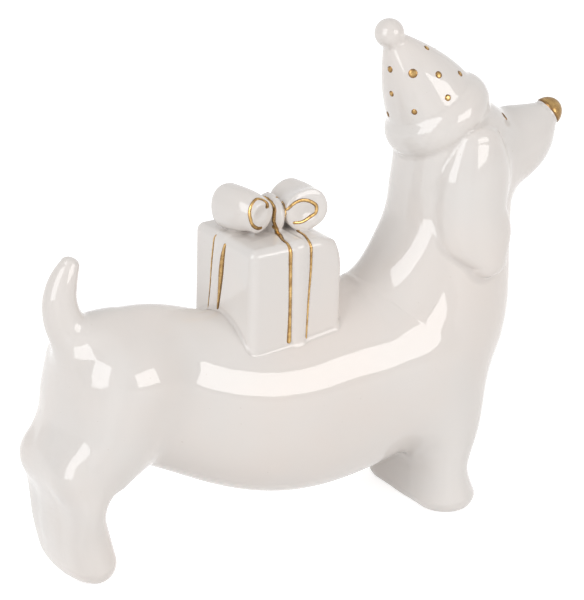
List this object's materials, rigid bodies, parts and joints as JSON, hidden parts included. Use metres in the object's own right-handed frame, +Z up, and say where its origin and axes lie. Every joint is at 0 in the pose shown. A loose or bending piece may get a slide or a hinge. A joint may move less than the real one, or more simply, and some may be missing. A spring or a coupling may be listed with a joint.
{
  "type": "dog figurine",
  "caption": "Glazed porcelain dachshund ornament in a party hat, carrying a wrapped gift box with a bow on its back, with gold lustre trim",
  "frame": {"origin": "on the ground plane under the middle of the figurine's length and width", "axes": "+X towards the dog's nose (its longest extent), +Y towards its left side (plane of symmetry XZ), +Z up"},
  "size_m": [0.1838, 0.0492, 0.1545],
  "materials": {
    "glazed_porcelain": "clear gloss glaze over warm white porcelain",
    "gold_lustre": "hand-painted bright gold lustre"
  },
  "bodies": {
    "root": {"torso": "glazed_porcelain", "head": "glazed_porcelain", "nose_cap": "gold_lustre", "eye_left": "gold_lustre", "eye_right": "gold_lustre", "ear_left": "glazed_porcelain", "ear_right": "glazed_porcelain", "tail": "glazed_porcelain", "hind_legs": "glazed_porcelain", "front_legs": "glazed_porcelain", "hat_brim": "glazed_porcelain", "hat_cone": "glazed_porcelain", "hat_pompom": "glazed_porcelain", "hat_dot_1_1": "gold_lustre", "hat_dot_1_2": "gold_lustre", "hat_dot_1_3": "gold_lustre", "hat_dot_1_4": "gold_lustre", "hat_dot_1_5": "gold_lustre", "hat_dot_1_6": "gold_lustre", "hat_dot_1_7": "gold_lustre", "hat_dot_2_1": "gold_lustre", "hat_dot_2_2": "gold_lustre", "hat_dot_2_3": "gold_lustre", "hat_dot_2_4": "gold_lustre", "hat_dot_3_1": "gold_lustre", "hat_dot_3_2": "gold_lustre", "hat_dot_3_3": "gold_lustre", "hat_dot_3_4": "gold_lustre", "hat_dot_3_5": "gold_lustre", "gift_box": "glazed_porcelain", "ribbon_side": "glazed_porcelain", "ribbon_rear": "glazed_porcelain", "ribbon_front": "glazed_porcelain", "side_line_rear": "gold_lustre", "side_line_front": "gold_lustre", "rear_line_right": "gold_lustre", "front_line_right": "gold_lustre", "rear_line_left": "gold_lustre", "front_line_left": "gold_lustre", "bow_knot": "glazed_porcelain", "bow_loop_rear": "glazed_porcelain", "bow_loop_front": "glazed_porcelain", "knot_line_rear": "gold_lustre", "knot_line_front": "gold_lustre", "bow_rim_rear_right": "gold_lustre", "bow_rim_rear_left": "gold_lustre", "bow_rim_front_right": "gold_lustre", "bow_rim_front_left": "gold_lustre"}
  },
  "joints": []
}
